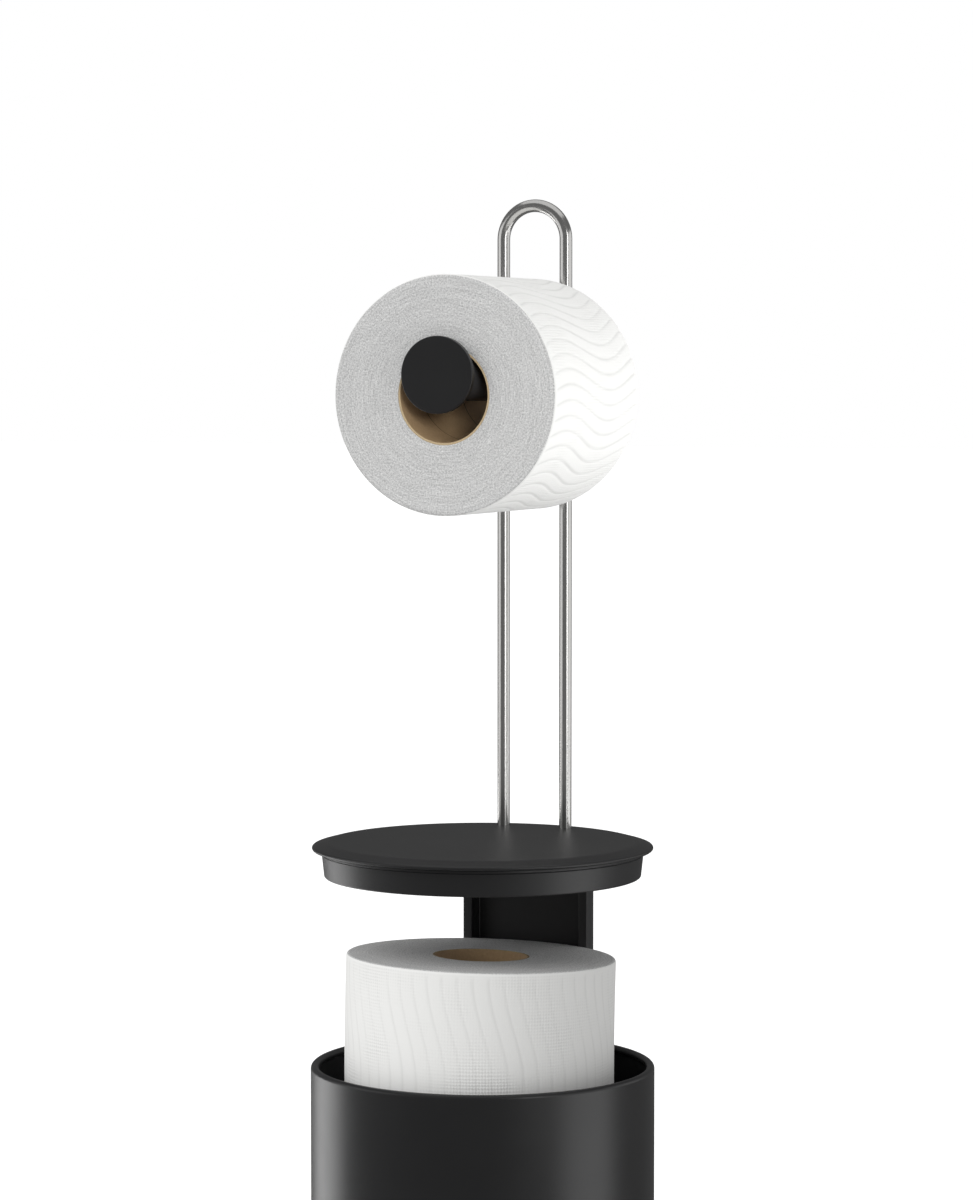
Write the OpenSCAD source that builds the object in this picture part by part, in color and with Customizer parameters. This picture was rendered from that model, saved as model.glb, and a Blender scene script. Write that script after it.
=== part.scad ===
// Free-standing toilet paper holder. A canister stores three spare rolls on a lift-out
// caddy, and an arm on the caddy's wire loop holds the roll in use.
// Z is up, the arm points to -Y, and the origin is on the floor at the canister's centre.
// The caddy is drawn raised above the canister, as it is when it is lifted to load rolls.

/* [Canister] */
// Outside diameter of the canister
canister_d = 160; // [155:1:175]
// Height of the canister, from the floor to its rim
canister_h = 368; // [366:1:400]
// Thickness of the canister's sheet steel
sheet_t = 1.2; // [0.8:0.1:1.6]
// Diameter of the curl that is rolled into the rim
curl_d = 3.8; // [3.2:0.1:4.5]

/* [Base] */
// How far the rubber foot ring stands proud of the base cap
foot_drop = 1.5; // [1:0.1:2]
// Thickness of the base cap's plate
cap_t = 2.5; // [2:0.1:3]
// Thickness of the steel weight
weight_t = 3.5; // [2:0.5:3.5]
// Number of screws that hold the base cap
base_screw_count = 3; // [3:1:6]

/* [Lid] */
// How far the caddy is raised above its closed place
lift = 100; // [0:1:200]
// Diameter of the lid
lid_d = 158.4; // [157:0.2:159.6]
// Height of the lid, from the foot of its screw bosses to its flat top
lid_t = 7.6; // [7:0.1:9]
// Thickness of the lid's edge, where it overhangs the collar
edge_t = 3.6; // [3.2:0.1:4]
// Slope of the lid's edge, in degrees
edge_slope = 15; // [13:1:20]
// Radius of the lid's outermost edge
lip_r = 0.9; // [0.6:0.1:1.2]
// Radius of the bend between the slope and the flat top
shoulder_r = 12; // [8:1:16]
// Outside diameter of the collar where it meets the lid
collar_d = 149.6; // [148:0.2:150]
// Height of the collar
collar_h = 12.5; // [8:0.5:16]

/* [Spine and tray] */
// Width of the spine
spine_w = 64; // [60:1:70]
// Thickness of the spine's two side flanges
flange_t = 4.3; // [3:0.1:5]
// Thickness of the spine's back panel
panel_t = 2.8; // [2:0.1:3.5]
// Diameter of the tray
tray_d = 146; // [144:1:148]
// Thickness of the tray
tray_t = 2.5; // [2:0.5:3]

/* [Wire loop] */
// Diameter of the wire
wire_d = 6; // [5.5:0.1:6.4]
// Distance between the centres of the loop's two legs
wire_pitch = 32; // [32:1:36]
// Height of the loop above the lid
loop_h = 299; // [285:1:340]

/* [Arm] */
// Height of the arm's axis above the lid
arm_rise = 216; // [190:1:225]
// Outside diameter of the arm's tube
arm_d = 24; // [20:0.5:25]
// Diameter of the disc on the arm's free end
disc_d = 35; // [30:0.5:38]
// Thickness of the disc
disc_t = 3; // [2:0.5:5]
// How far the disc's face reaches in front of the canister's axis
arm_reach = 52; // [50:1:60]

/* [Rolls] */
// Width of the paper on every roll
roll_w = 102; // [98:1:102]
// Diameter of a full spare roll
spare_d = 125; // [110:1:125]
// Diameter of the roll in use
used_d = 109; // [60:1:125]
// Inside diameter of the cardboard cores
core_id = 43; // [42:0.5:44]
// Wall thickness of the cardboard cores
core_t = 1; // [0.6:0.1:1.5]

/* [Hidden] */
$fn = 96;

eps = 0.01;         // how far joined solids reach into each other
cut = 1;            // how far a cutting shape reaches past the faces that it opens
hole_gap = 0.4;     // added to a screw's diameter where it passes freely
seat_gap = 0.3;     // left between the lid and the rim when the caddy is down

// Canister and base
canister_r = canister_d / 2;
shell_r = canister_r - sheet_t;
cap_top = foot_drop + cap_t;
weight_top = cap_top + weight_t;
floor_top = weight_top + sheet_t;
cap_edge_h = 4;     // height of the cap's edge below the shell
cap_edge_r = 2.5;
cap_wall_t = 2.4;
weight_r = 68;
floor_flange_h = 10;
foot_r_out = 72;
foot_r_in = 62;
foot_seat = 1;
base_screw_d = 4;
base_screw_r = 46;
base_head_d = 8.5;
base_head_t = 1.6;

// Lid and collar
lid_r = lid_d / 2;
edge_under = canister_h + lift + seat_gap;
lid_face = edge_under + edge_t;
lid_under = lid_face - lid_t;
lid_plate_t = 3.2;
lid_hollow_r = 66;
boss_r = 5;
lip_x = lid_r - lip_r;
shoulder_x = lip_x - ((edge_t - lip_r - shoulder_r) * cos(edge_slope) + shoulder_r - lip_r) / sin(edge_slope);
collar_r = collar_d / 2;
collar_draft = 1.2;
collar_wall_t = 2.4;
collar_r_in = collar_r - collar_draft - collar_wall_t;

// Head plate and its screws, under the lid
head_t = 2.5;
head_r = 70;
head_front = 30;
head_bottom = lid_under - head_t;
lid_screw_d = 4;
lid_screw_l = 6.5;
lid_screw_head_d = 8;
lid_screw_head_t = 2;
lid_screw_at = [[-40, 42], [-14, 38], [14, 38], [40, 42]];

// Wire loop
wire_y = 62;
wire_r = wire_pitch / 2;
stud_d = 5;
stud_out = 0.8;         // how far the studs' ends stand out of the nuts
washer_d = 10;
washer_t = 1;
nut_af = 8;
nut_t = 4;
stud_l = head_t + washer_t + nut_t + stud_out;
arc_z = lid_face + loop_h - wire_r - wire_d / 2;

// Spine and tray
spine_front = 50;
spine_back = 62.5;
spine_corner_r = 5;
spine_inner = spine_back - panel_t;
window_w = 13;
window_h = 9;
loading_gap = 37.3;     // left between the collar and the stack of spare rolls
roll_top = edge_under - collar_h - loading_gap;
tray_top = roll_top - 3 * roll_w;
tray_r = tray_d / 2;
tray_lip_t = 2;
tray_lip_h = 4;
tongue_w = 40;
tongue_t = 4;
tongue_h = 24;
tray_screw_d = 4;
tray_screw_x = 12;
tray_screw_rise = 12;
tray_screw_z = tray_top + tray_screw_rise;
tray_screw_head_d = 8;
tray_screw_head_t = 2;

// Arm
arm_z = lid_face + arm_rise;
arm_r = arm_d / 2;
arm_wall_t = 2;
arm_front = disc_t - arm_reach;
plate_w = 44;
plate_h = 24;
plate_t = 4;
groove_t = 1.5;         // how deep the loop's legs sit in the cross plate
plate_front = wire_y + wire_d / 2 - groove_t;
plug_l = 14;
spigot_l = 12;
arm_bolt_d = 6;
arm_bolt_l = 14;
arm_bolt_head_d = 11;
arm_bolt_head_t = 3.2;

// Rolls
core_r = core_id / 2 + core_t;
spare_y = -7.4;
spare_top_x = 1.5;
rest_gap = 0.3;     // left between the used roll's core and the arm that it hangs on
used_front = -44;
used_z = arm_z + arm_r + rest_gap - core_id / 2;

black_paint = "#2b2b2b";
black_plastic = "#3a3a3a";
bright_steel = "#c8c8c8";
plain_steel = "#8f8f8f";
dark_rubber = "#1c1c1c";
paper_white = "#f2f2f0";
cardboard = "#7d6a55";

// Width and depth of a screw's hex socket, as shares of its head's
socket_w = 0.45;
socket_depth = 0.6;

// A socket-head screw that points up, with the underside of its head at z = 0
module screw(shank_d, shank_l, head_d, head_t) {
    difference() {
        union() {
            translate([0, 0, -head_t]) cylinder(d = head_d, h = head_t);
            cylinder(d = shank_d, h = shank_l);
        }
        translate([0, 0, -head_t - eps]) cylinder(d = head_d * socket_w, h = head_t * socket_depth, $fn = 6);
    }
}

// A ring that is as tall as h, standing on z = 0
module ring(r_out, r_in, h) {
    linear_extrude(h) difference() {
        circle(r = r_out);
        circle(r = r_in);
    }
}

// Points along an arc, from angle a to angle b
function arc(x, y, r, a, b, steps = 8) =
    [for (i = [0 : steps]) [x, y] + r * [cos(a + (b - a) * i / steps), sin(a + (b - a) * i / steps)]];

// The places of the base screws round the canister's axis
module at_base_screws() {
    for (i = [0 : base_screw_count - 1]) {
        rotate([0, 0, 90 + i * 360 / base_screw_count]) translate([base_screw_r, 0, 0]) children();
    }
}

// The places of the loop's two legs
module at_legs() {
    for (side = [-1, 1]) translate([side * wire_r, wire_y, 0]) children();
}

module canister_shell() {
    color(black_paint) rotate_extrude() {
        translate([shell_r, foot_drop + cap_edge_h])
            square([sheet_t, canister_h - foot_drop - cap_edge_h - curl_d / 2]);
        translate([canister_r - curl_d / 2, canister_h - curl_d / 2]) circle(d = curl_d);
    }
}

module canister_floor() {
    color(black_paint) difference() {
        union() {
            translate([0, 0, weight_top]) cylinder(r = shell_r, h = sheet_t);
            translate([0, 0, floor_top - eps]) ring(shell_r, shell_r - sheet_t, floor_flange_h);
        }
        at_base_screws() translate([0, 0, weight_top - cut])
            cylinder(d = base_screw_d, h = sheet_t + 2 * cut);
    }
}

module base_weight() {
    color(plain_steel) translate([0, 0, cap_top]) difference() {
        cylinder(r = weight_r, h = weight_t);
        at_base_screws() translate([0, 0, -cut])
            cylinder(d = base_screw_d + hole_gap, h = weight_t + 2 * cut);
    }
}

module base_cap() {
    seat_z = foot_drop + cap_edge_h;
    color(black_plastic) difference() {
        rotate_extrude() polygon(concat(
            [[0, foot_drop]],
            arc(canister_r - cap_edge_r, foot_drop + cap_edge_r, cap_edge_r, -90, 0),
            [[canister_r, seat_z], [shell_r, seat_z], [shell_r, weight_top]],
            [[shell_r - cap_wall_t, weight_top], [shell_r - cap_wall_t, cap_top], [0, cap_top]]
        ));
        translate([0, 0, foot_drop - eps]) ring(foot_r_out, foot_r_in, foot_seat + eps);
        at_base_screws() {
            translate([0, 0, foot_drop - eps])
                cylinder(d = base_head_d + hole_gap, h = base_head_t + eps);
            cylinder(d = base_screw_d + hole_gap, h = cap_top + cut);
        }
    }
}

module base_screws() {
    color(plain_steel) at_base_screws() translate([0, 0, foot_drop + base_head_t])
        screw(base_screw_d, floor_top - foot_drop - base_head_t, base_head_d, base_head_t);
}

module foot_ring() {
    color(dark_rubber) ring(foot_r_out, foot_r_in, foot_drop + foot_seat);
}

// Half of the lid's section: a body that fills the collar, an overhanging edge that slopes up
// from a small lip, and a bend into the flat top
module lid_section() {
    edge_z = lid_t - edge_t;
    polygon(concat(
        [[0, 0], [collar_r_in, 0], [collar_r_in, edge_z]],
        arc(lip_x, edge_z + lip_r, lip_r, -90, 90 - edge_slope),
        arc(shoulder_x, lid_t - shoulder_r, shoulder_r, 90 - edge_slope, 90),
        [[0, lid_t]]
    ));
}

module lid_top() {
    color(black_plastic) translate([0, 0, lid_under]) difference() {
        union() {
            difference() {
                rotate_extrude() lid_section();
                translate([0, 0, -cut]) cylinder(r = lid_hollow_r, h = lid_t - lid_plate_t + cut);
            }
            for (p = lid_screw_at) translate(p) cylinder(r = boss_r, h = lid_t - lid_plate_t + cut);
            at_legs() cylinder(r = boss_r, h = lid_t - lid_plate_t + cut);
        }
        for (p = lid_screw_at) translate([p.x, p.y, -cut])
            cylinder(d = lid_screw_d, h = lid_screw_l - head_t + 2 * cut);
        at_legs() translate([0, 0, -cut]) cylinder(d = wire_d, h = lid_t + 2 * cut);
    }
}

module lid_collar() {
    color(black_plastic) translate([0, 0, edge_under - collar_h]) difference() {
        cylinder(r1 = collar_r - collar_draft, r2 = collar_r, h = collar_h);
        translate([0, 0, -cut]) cylinder(r = collar_r_in, h = collar_h + 2 * cut);
    }
}

module head_plate() {
    color(plain_steel) translate([0, 0, head_bottom]) difference() {
        linear_extrude(head_t) intersection() {
            circle(r = head_r);
            translate([-head_r, head_front]) square([2 * head_r, head_r]);
        }
        for (p = lid_screw_at) translate([p.x, p.y, -cut])
            cylinder(d = lid_screw_d + hole_gap, h = head_t + 2 * cut);
        at_legs() translate([0, 0, -cut]) cylinder(d = stud_d, h = head_t + 2 * cut);
    }
}

module lid_screws() {
    color(plain_steel) for (p = lid_screw_at) translate([p.x, p.y, head_bottom])
        screw(lid_screw_d, lid_screw_l, lid_screw_head_d, lid_screw_head_t);
}

// The channel's section: a back panel with round corners and two flanges that point forward
module spine_section() {
    depth = spine_back - spine_front;
    difference() {
        union() {
            translate([-spine_w / 2, spine_front]) square([spine_w, depth - spine_corner_r]);
            translate([spine_corner_r - spine_w / 2, spine_front])
                square([spine_w - 2 * spine_corner_r, depth]);
            for (side = [-1, 1])
                translate([side * (spine_w / 2 - spine_corner_r), spine_back - spine_corner_r])
                    circle(r = spine_corner_r);
        }
        translate([flange_t - spine_w / 2, spine_front - cut])
            square([spine_w - 2 * flange_t, depth - panel_t + cut]);
    }
}

module spine() {
    color(black_plastic) difference() {
        translate([0, 0, tray_top]) linear_extrude(head_bottom - tray_top) spine_section();
        for (side = [-1, 1]) {
            translate([side * wire_r - window_w / 2, spine_inner - cut, head_bottom - window_h])
                cube([window_w, panel_t + 2 * cut, window_h + cut]);
            translate([side * tray_screw_x, spine_inner - cut, tray_screw_z]) rotate([-90, 0, 0])
                cylinder(d = tray_screw_d + hole_gap, h = panel_t + 2 * cut);
        }
    }
}

module tray() {
    color(black_plastic) difference() {
        union() {
            translate([0, 0, tray_top - tray_t]) cylinder(r = tray_r, h = tray_t);
            translate([0, 0, tray_top - eps]) ring(tray_r, tray_r - tray_lip_t, tray_lip_h);
            translate([-tongue_w / 2, spine_back, tray_top - eps]) cube([tongue_w, tongue_t, tongue_h]);
        }
        for (side = [-1, 1]) translate([side * tray_screw_x, spine_back - cut, tray_screw_z])
            rotate([-90, 0, 0]) cylinder(d = tray_screw_d, h = tongue_t + 2 * cut);
    }
}

module tray_screws() {
    color(plain_steel) for (side = [-1, 1])
        translate([side * tray_screw_x, spine_inner, tray_screw_z]) rotate([-90, 0, 0])
            screw(tray_screw_d, panel_t + tongue_t, tray_screw_head_d, tray_screw_head_t);
}

module wire_loop() {
    color(bright_steel) {
        translate([0, wire_y, arc_z]) rotate([90, 0, 0]) rotate_extrude(angle = 180)
            translate([wire_r, 0]) circle(d = wire_d);
        at_legs() {
            translate([0, 0, lid_under]) cylinder(d = wire_d, h = arc_z - lid_under);
            translate([0, 0, lid_under - stud_l]) cylinder(d = stud_d, h = stud_l);
        }
    }
}

module wire_washers() {
    color(plain_steel) at_legs() translate([0, 0, head_bottom - washer_t])
        ring(washer_d / 2, stud_d / 2, washer_t);
}

module wire_nuts() {
    color(plain_steel) at_legs() translate([0, 0, head_bottom - washer_t - nut_t]) difference() {
        cylinder(d = nut_af / cos(30), h = nut_t, $fn = 6);
        translate([0, 0, -cut]) cylinder(d = stud_d, h = nut_t + 2 * cut);
    }
}

module cross_plate() {
    color(black_paint) difference() {
        translate([-plate_w / 2, plate_front, arm_z - plate_h / 2]) cube([plate_w, plate_t, plate_h]);
        at_legs() translate([0, 0, arm_z - plate_h / 2 - cut])
            cylinder(d = wire_d, h = plate_h + 2 * cut);
        translate([0, plate_front - cut, arm_z]) rotate([-90, 0, 0])
            cylinder(d = arm_bolt_d + hole_gap, h = plate_t + 2 * cut);
    }
}

module arm_tube() {
    color(black_paint) translate([0, arm_front, arm_z]) rotate([-90, 0, 0])
        ring(arm_r, arm_r - arm_wall_t, plate_front - arm_front);
}

module arm_plug() {
    color(plain_steel) translate([0, plate_front - plug_l, arm_z]) rotate([-90, 0, 0])
        ring(arm_r - arm_wall_t, arm_bolt_d / 2, plug_l);
}

module arm_bolt() {
    color(plain_steel) translate([0, plate_front + plate_t, arm_z]) rotate([90, 0, 0])
        screw(arm_bolt_d, arm_bolt_l, arm_bolt_head_d, arm_bolt_head_t);
}

module arm_disc() {
    color(black_paint) translate([0, arm_front, arm_z]) rotate([-90, 0, 0]) {
        translate([0, 0, -disc_t]) cylinder(d = disc_d, h = disc_t);
        translate([0, 0, -eps]) cylinder(r = arm_r - arm_wall_t, h = spigot_l);
    }
}

// The paper and the core of one stored roll, counted from the top of the stack
module spare_paper(index) {
    color(paper_white) translate([index == 0 ? spare_top_x : 0, spare_y, roll_top - (index + 1) * roll_w])
        ring(spare_d / 2, core_r, roll_w);
}

module spare_core(index) {
    color(cardboard) translate([index == 0 ? spare_top_x : 0, spare_y, roll_top - (index + 1) * roll_w])
        ring(core_r, core_r - core_t, roll_w);
}

module roll_paper() {
    color(paper_white) translate([0, used_front, used_z]) rotate([-90, 0, 0])
        ring(used_d / 2, core_r, roll_w);
}

module roll_core() {
    color(cardboard) translate([0, used_front, used_z]) rotate([-90, 0, 0])
        ring(core_r, core_r - core_t, roll_w);
}

canister_shell();
canister_floor();
base_weight();
base_cap();
base_screws();
foot_ring();
lid_top();
lid_collar();
head_plate();
lid_screws();
spine();
tray();
tray_screws();
wire_loop();
wire_washers();
wire_nuts();
cross_plate();
arm_tube();
arm_plug();
arm_bolt();
arm_disc();
spare_paper(0);  // spare_paper_top
spare_core(0);  // spare_core_top
spare_paper(1);  // spare_paper_middle
spare_core(1);  // spare_core_middle
spare_paper(2);  // spare_paper_bottom
spare_core(2);  // spare_core_bottom
roll_paper();
roll_core();
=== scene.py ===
# %% [markdown]
# # A free-standing toilet paper holder
#
# The holder is a round black canister with a caddy that lifts out of it. The caddy is a lid on a
# channel-shaped spine, with a tray at its foot for three spare rolls and a tall wire loop to pull
# it up by. A short arm on the loop carries the roll in use.
#
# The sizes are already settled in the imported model, and every place below is read from it. This
# file gives each piece that can be seen its real edges, seams and finish.

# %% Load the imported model
import math
import random

import bmesh
import bpy
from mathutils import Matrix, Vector


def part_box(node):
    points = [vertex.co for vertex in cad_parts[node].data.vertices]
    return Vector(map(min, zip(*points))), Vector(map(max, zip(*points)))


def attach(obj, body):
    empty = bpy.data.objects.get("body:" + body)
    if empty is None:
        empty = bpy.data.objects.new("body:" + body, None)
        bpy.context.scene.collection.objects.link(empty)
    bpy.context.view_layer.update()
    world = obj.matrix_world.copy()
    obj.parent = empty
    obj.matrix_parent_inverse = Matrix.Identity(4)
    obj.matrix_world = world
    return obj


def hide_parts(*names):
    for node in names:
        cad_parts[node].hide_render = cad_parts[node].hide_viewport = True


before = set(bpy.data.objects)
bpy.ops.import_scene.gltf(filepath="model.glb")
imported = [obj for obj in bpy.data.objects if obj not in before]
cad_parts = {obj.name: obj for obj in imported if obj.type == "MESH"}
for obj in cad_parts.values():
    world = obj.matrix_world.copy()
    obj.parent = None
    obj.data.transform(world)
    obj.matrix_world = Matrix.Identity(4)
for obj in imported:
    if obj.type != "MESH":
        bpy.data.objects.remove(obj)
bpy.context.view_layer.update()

MM = 0.001

# %% [markdown]
# ## The camera
#
# A product like this is shot from a little above its middle with a long lens, which keeps the
# upright sides nearly parallel. The camera could be aimed with a constraint. A bearing, a distance
# and a tilt are simpler to read and to change, so they place it here.

# %% Camera
rim_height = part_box("canister_shell")[1].z
camera_bearing = math.radians(23.5)
camera_distance = 1.729
camera_aside = 1.8 * MM
camera_rise = 0.3217
camera_tilt = math.radians(86.5)
across = Vector((math.cos(camera_bearing), math.sin(camera_bearing), 0))
back = Vector((math.sin(camera_bearing), -math.cos(camera_bearing), 0))
camera_place = back * camera_distance + across * camera_aside + Vector((0, 0, rim_height + camera_rise))
bpy.ops.object.camera_add(location=camera_place, rotation=(camera_tilt, 0, camera_bearing))
camera = bpy.context.object
camera.data.lens = 112.4
bpy.context.scene.camera = camera
print("camera at", [round(value, 3) for value in camera.location])

# %% [markdown]
# ## A node and a colour
#
# Each finish below is a small network of shader nodes. Writing them one by one repeats the same
# three steps: add a node, choose its settings, join its inputs. One function takes those steps for
# every kind of node. Another turns the hex colours that people exchange into the linear numbers
# that a renderer adds up, and a last one joins the results to the surface itself.

# %% Helpers for materials
def linear(hex_colour):
    """The linear colour of an sRGB hex value such as #1d1d1e."""
    parts = [int(hex_colour[start:start + 2], 16) / 255 for start in (1, 3, 5)]
    curved = [part / 12.92 if part <= 0.04045 else ((part + 0.055) / 1.055) ** 2.4 for part in parts]
    return (*curved, 1.0)


def add_node(tree, kind, inputs=None, **settings):
    """Adds a node with its settings. Each input is a plain value, or another node's output."""
    made = tree.nodes.new(kind)
    for name, value in settings.items():
        setattr(made, name, value)
    for name, value in (inputs or {}).items():
        if isinstance(value, bpy.types.NodeSocket):
            tree.links.new(value, made.inputs[name])
        else:
            made.inputs[name].default_value = value
    return made


def start_finish(name, **surface):
    """A new material, its node tree and its Principled surface, with that surface's constants."""
    finish = bpy.data.materials.new(name)
    finish.use_nodes = True
    shader = finish.node_tree.nodes["Principled BSDF"]
    for socket, value in surface.items():
        shader.inputs[socket.replace("_", " ")].default_value = value
    return finish, finish.node_tree, shader


def cover(shader, **surface):
    """Joins outputs to the surface's inputs, whose names have _ for each space."""
    for socket, output in surface.items():
        shader.id_data.links.new(output, shader.inputs[socket.replace("_", " ")])


def patches(size_mm):
    """The Scale that makes a texture's patches this many millimetres wide."""
    return 1000 / size_mm


# %% [markdown]
# ## Studio light
#
# Black satin metal and bright wire show their shape only by what they mirror, so the panels round
# the holder are placed for their reflections, and they are switched off for matt surfaces. The
# camera looks slightly down, so the canister mirrors what stands low and the wires mirror what
# stands at their own height. Low panels draw the two soft bands down the canister, high ones draw
# the stripes in the wire, and one overhead lightens the lid and the bend of the wire.
#
# Paper is lit the other way round, by lamps that nothing mirrors: a large soft key from the left,
# and three softboxes, one for the roll in use, one for its core and one for the tube of the arm.
# Each is flagged off from everything else, as with black cards, and light linking does that here.

# %% Lights
def face(lamp, target):
    """Turns a lamp so that it shines at a point."""
    lamp.rotation_euler = (target - lamp.location).to_track_quat("-Z", "Y").to_euler()


def bearing_to(degrees_from_camera):
    """The flat direction from the holder that is this far round from the camera, to the right."""
    angle = camera_bearing + math.radians(degrees_from_camera)
    return Vector((math.sin(angle), -math.cos(angle), 0))


PANEL_DISTANCE = 1.2


def studio_panel(name, bearing, spread, foot, top, brightness):
    """An evenly bright upright panel, spread degrees wide as the holder sees it."""
    middle = Vector((0, 0, (foot + top) / 2))
    bpy.ops.object.light_add(type="AREA", location=bearing_to(bearing) * PANEL_DISTANCE + middle)
    lamp = bpy.context.object
    lamp.name = name
    face(lamp, middle)
    width, tall = 2 * PANEL_DISTANCE * math.tan(math.radians(spread / 2)), top - foot
    lamp.data.shape = "RECTANGLE"
    lamp.data.size, lamp.data.size_y = width, tall
    lamp.data.energy = brightness * math.pi * width * tall
    lamp.visible_camera = lamp.visible_diffuse = False


studio_panel("low_left_panel", bearing=-124, spread=35, foot=-0.8, top=0.33, brightness=2.7)
studio_panel("low_right_panel", bearing=72, spread=40, foot=-0.8, top=0.33, brightness=1.75)
studio_panel("high_left_panel", bearing=-88, spread=56, foot=0.33, top=1.1, brightness=0.7)
studio_panel("stripe_panel", bearing=33, spread=14, foot=0.33, top=1.1, brightness=2.8)
studio_panel("high_right_panel", bearing=88, spread=76, foot=0.33, top=1.1, brightness=0.7)


def matt_light(lamp, target, direction):
    """Aims a lamp at a point from a place beside it, and keeps it out of all reflections."""
    lamp.location = target + direction
    face(lamp, target)
    lamp.visible_camera = lamp.visible_glossy = False


def softbox(name, target, direction, size, brightness):
    """A square lamp for matt surfaces, evenly bright and so many metres wide."""
    bpy.ops.object.light_add(type="AREA")
    lamp = bpy.context.object
    lamp.name = name
    lamp.data.size = size
    lamp.data.energy = brightness * math.pi * size ** 2
    matt_light(lamp, target, direction)
    return lamp


def flag_off(lamp, piece):
    """Lets a lamp reach only this piece."""
    reached = bpy.data.collections.new(lamp.name + "_reaches")
    reached.objects.link(piece)
    lamp.light_linking.receiver_collection = reached


used_roll_middle = (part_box("roll_paper")[0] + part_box("roll_paper")[1]) / 2
bpy.ops.object.light_add(type="SUN")
key = bpy.context.object
key.name = "key_light"
key.data.angle = math.radians(60)
key.data.energy = 1.5
matt_light(key, used_roll_middle, bearing_to(-55) + Vector((0, 0, 0.75)))
beside_roll = bearing_to(80) * 0.55 - Vector((0, 0, 0.1))
into_core = bearing_to(8) * 0.9 + Vector((0, 0, 0.12))
roll_softbox = softbox("roll_softbox", used_roll_middle, beside_roll, size=1.0, brightness=1.15)
core_softbox = softbox("core_softbox", used_roll_middle, into_core, size=0.2, brightness=38)
tube_softbox = softbox("tube_softbox", used_roll_middle, into_core, size=0.2, brightness=240)
overhead = softbox("overhead_panel", used_roll_middle, Vector((0, 0, 0.9)), size=1.4, brightness=0.55)
overhead.visible_glossy = True
overhead.visible_diffuse = False

# %% [markdown]
# The backdrop is white where the camera looks straight at it. Light that is on its way to a glossy
# surface finds it nearly black, as if dark cloths hung outside the picture, and light for matt
# surfaces finds an even grey. The floor is a sheet of white acrylic lit from beneath, as
# used on product tables, and it neither lights nor mirrors in the holder.

# %% Backdrop and floor
DARK_CLOTH = 0.16
EVEN_GREY = 0.57
world = bpy.data.worlds.new("studio")
bpy.context.scene.world = world
world.use_nodes = True
tree = world.node_tree
rays = add_node(tree, "ShaderNodeLightPath")
cloth = add_node(tree, "ShaderNodeMix", {0: rays.outputs["Is Glossy Ray"], 2: EVEN_GREY, 3: DARK_CLOTH})
backdrop = add_node(tree, "ShaderNodeMix", {0: rays.outputs["Is Camera Ray"], 2: cloth.outputs[0],
                                            3: 1.0})
tree.links.new(backdrop.outputs[0], tree.nodes["Background"].inputs["Strength"])
tree.nodes["Background"].inputs["Color"].default_value = (1, 1, 1, 1)
bpy.context.scene.view_settings.view_transform = "Standard"

floor_finish, tree, shader = start_finish("lit_white_acrylic", Roughness=0.9, Emission_Strength=0.5)
shader.inputs["Base Color"].default_value = linear("#f3f3f3")
shader.inputs["Emission Color"].default_value = (1, 1, 1, 1)
bpy.ops.mesh.primitive_plane_add(size=60, location=(0, 0, 0))
floor = bpy.context.object
floor.name = "studio_floor"
floor.data.materials.append(floor_finish)
floor.visible_glossy = floor.visible_diffuse = floor.visible_shadow = False

# %% [markdown]
# ## Black powder coat
#
# The canister, the arm and its cross plate are steel with a black powder coat: dry plastic powder
# that is baked until it melts into a skin. It never levels out fully, so it keeps a faint orange
# peel about a millimetre wide. The eye reads that as a satin sheen whose reflections have soft,
# slightly restless edges. Plain roughness would give the sheen and miss the restlessness, so a
# gentle bump is added to it.

# %% Powder coat
def powder_coat(name, peel_mm):
    """Black polyester powder coat on sheet steel, with orange peel of the given width."""
    finish, tree, shader = start_finish(name, IOR=1.5, Roughness=0.36)
    place = add_node(tree, "ShaderNodeTexCoord").outputs["Object"]
    cloud = add_node(tree, "ShaderNodeTexNoise", {"Vector": place, "Scale": patches(22), "Detail": 3.0})
    tone = add_node(tree, "ShaderNodeMix", {0: cloud.outputs["Fac"], 6: linear("#1b1b1c"),
                                            7: linear("#202021")}, data_type="RGBA")
    sheen = add_node(tree, "ShaderNodeMapRange", {"Value": cloud.outputs["Fac"], "To Min": 0.33,
                                                  "To Max": 0.39})
    peel = add_node(tree, "ShaderNodeTexNoise", {"Vector": place, "Scale": patches(peel_mm),
                                                 "Detail": 1.0})
    relief = add_node(tree, "ShaderNodeBump", {"Height": peel.outputs["Fac"], "Strength": 0.5,
                                               "Distance": 0.02 * MM})
    cover(shader, Base_Color=tone.outputs[2], Roughness=sheen.outputs["Result"],
          Normal=relief.outputs["Normal"])
    return finish


black_powder_coat = powder_coat("black_powder_coated_steel", peel_mm=1.1)

# %% [markdown]
# ## Black moulded plastic
#
# The lid, its collar, the spine, the tray and the base cap are injection-moulded ABS. The mould is
# spark-eroded, which leaves a fine even grain of about 0.3 mm on the plastic. It scatters light a
# little more than the powder coat does, so the lid looks softer than the canister beneath it.

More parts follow.
